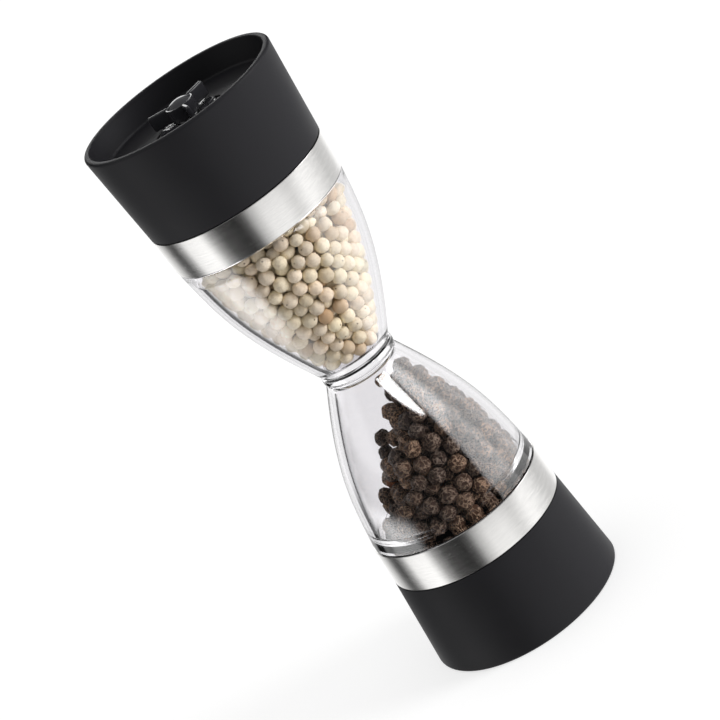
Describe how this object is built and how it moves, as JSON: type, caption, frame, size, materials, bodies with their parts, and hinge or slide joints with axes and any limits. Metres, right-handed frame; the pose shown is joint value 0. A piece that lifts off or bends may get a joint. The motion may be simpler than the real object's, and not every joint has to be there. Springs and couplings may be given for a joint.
{
  "type": "pepper mill",
  "caption": "Double-ended pepper mill: two clear bells with peppercorns joined at a waist, black turning cups, steel bands and winged grind adjusters in the open ends.",
  "frame": {"origin": "middle of the lower rim, on the surface that the mill stands on", "axes": "+Z along the mill's axis towards the upper head, +X to the right of the front view, +Y to the back"},
  "size_m": [0.0624, 0.0624, 0.19],
  "materials": {
    "clear_acrylic": "clear, polished",
    "white_pepper": "dry seed skin, matte",
    "black_pepper": "dry wrinkled seed skin, matte",
    "soft_black": "soft-touch matte",
    "band_steel": "brushed around the axis",
    "silicone": "smooth translucent white",
    "plain_steel": "turned",
    "gloss_black": "glossy",
    "burr_black": "glossy, moulded teeth",
    "collar_black": "satin"
  },
  "bodies": {
    "bells": {"upper_bell": "clear_acrylic", "lower_bell": "clear_acrylic", "waist_ring": "clear_acrylic", "white_peppercorns": "white_pepper", "black_peppercorns": "black_pepper"},
    "upper_seat": {"upper_seal": "silicone"},
    "upper_head": {"upper_collar": "collar_black", "upper_steel_band": "band_steel", "upper_feed_bridge": "collar_black", "upper_spindle": "plain_steel", "upper_spring": "plain_steel"},
    "upper_burr": {"upper_male_burr": "burr_black", "upper_thrust_washer": "plain_steel"},
    "upper_knob": {"upper_adjuster_knob": "gloss_black"},
    "upper_turning_cup": {"upper_cup": "soft_black", "upper_ring_burr": "burr_black", "upper_cup_clip": "collar_black"},
    "lower_seat": {"lower_seal": "silicone"},
    "lower_head": {"lower_collar": "collar_black", "lower_steel_band": "band_steel", "lower_feed_bridge": "collar_black", "lower_spindle": "plain_steel", "lower_spring": "plain_steel"},
    "lower_burr": {"lower_male_burr": "burr_black", "lower_thrust_washer": "plain_steel"},
    "lower_knob": {"lower_adjuster_knob": "gloss_black"},
    "lower_turning_cup": {"lower_cup": "soft_black", "lower_ring_burr": "burr_black", "lower_cup_clip": "collar_black"}
  },
  "joints": [
    {"name": "upper_head_lift", "type": "slide", "parent": "bells", "child": "upper_seat", "axis": [0, 0, 1], "range_m": [0, 0.004]},
    {"name": "upper_head_unscrew", "type": "hinge", "parent": "upper_seat", "child": "upper_head", "pos_m": [0, 0, 0.19], "axis": [0, 0, 1], "range_deg": [0, 360]},
    {"name": "upper_burr_travel", "type": "slide", "parent": "upper_head", "child": "upper_burr", "axis": [0, 0, 1], "range_m": [-0.0007, 0.00035], "deforming": ["upper_spring"]},
    {"name": "upper_knob_turn", "type": "hinge", "parent": "upper_burr", "child": "upper_knob", "pos_m": [0, 0, 0.19], "axis": [0, 0, 1], "range_deg": [-360, 180]},
    {"name": "upper_cup_turn", "type": "hinge", "parent": "upper_head", "child": "upper_turning_cup", "pos_m": [0, 0, 0.19], "axis": [0, 0, 1], "continuous": true},
    {"name": "lower_head_lift", "type": "slide", "parent": "bells", "child": "lower_seat", "axis": [0, 0, -1], "range_m": [0, 0.004]},
    {"name": "lower_head_unscrew", "type": "hinge", "parent": "lower_seat", "child": "lower_head", "pos_m": [0, 0, 0], "axis": [0, 0, -1], "range_deg": [0, 360]},
    {"name": "lower_burr_travel", "type": "slide", "parent": "lower_head", "child": "lower_burr", "axis": [0, 0, -1], "range_m": [-0.0007, 0.00035], "deforming": ["lower_spring"]},
    {"name": "lower_knob_turn", "type": "hinge", "parent": "lower_burr", "child": "lower_knob", "pos_m": [0, 0, 0], "axis": [0, 0, -1], "range_deg": [-360, 180]},
    {"name": "lower_cup_turn", "type": "hinge", "parent": "lower_head", "child": "lower_turning_cup", "pos_m": [0, 0, 0], "axis": [0, 0, -1], "continuous": true}
  ],
  "couplings": [
    {"joint": "upper_head_lift", "follows": "upper_head_unscrew", "m_per_rad": 0.00063662},
    {"joint": "upper_knob_turn", "follows": "upper_burr_travel", "rad_per_m": 8976},
    {"joint": "lower_head_lift", "follows": "lower_head_unscrew", "m_per_rad": 0.00063662},
    {"joint": "lower_knob_turn", "follows": "lower_burr_travel", "rad_per_m": 8976}
  ]
}
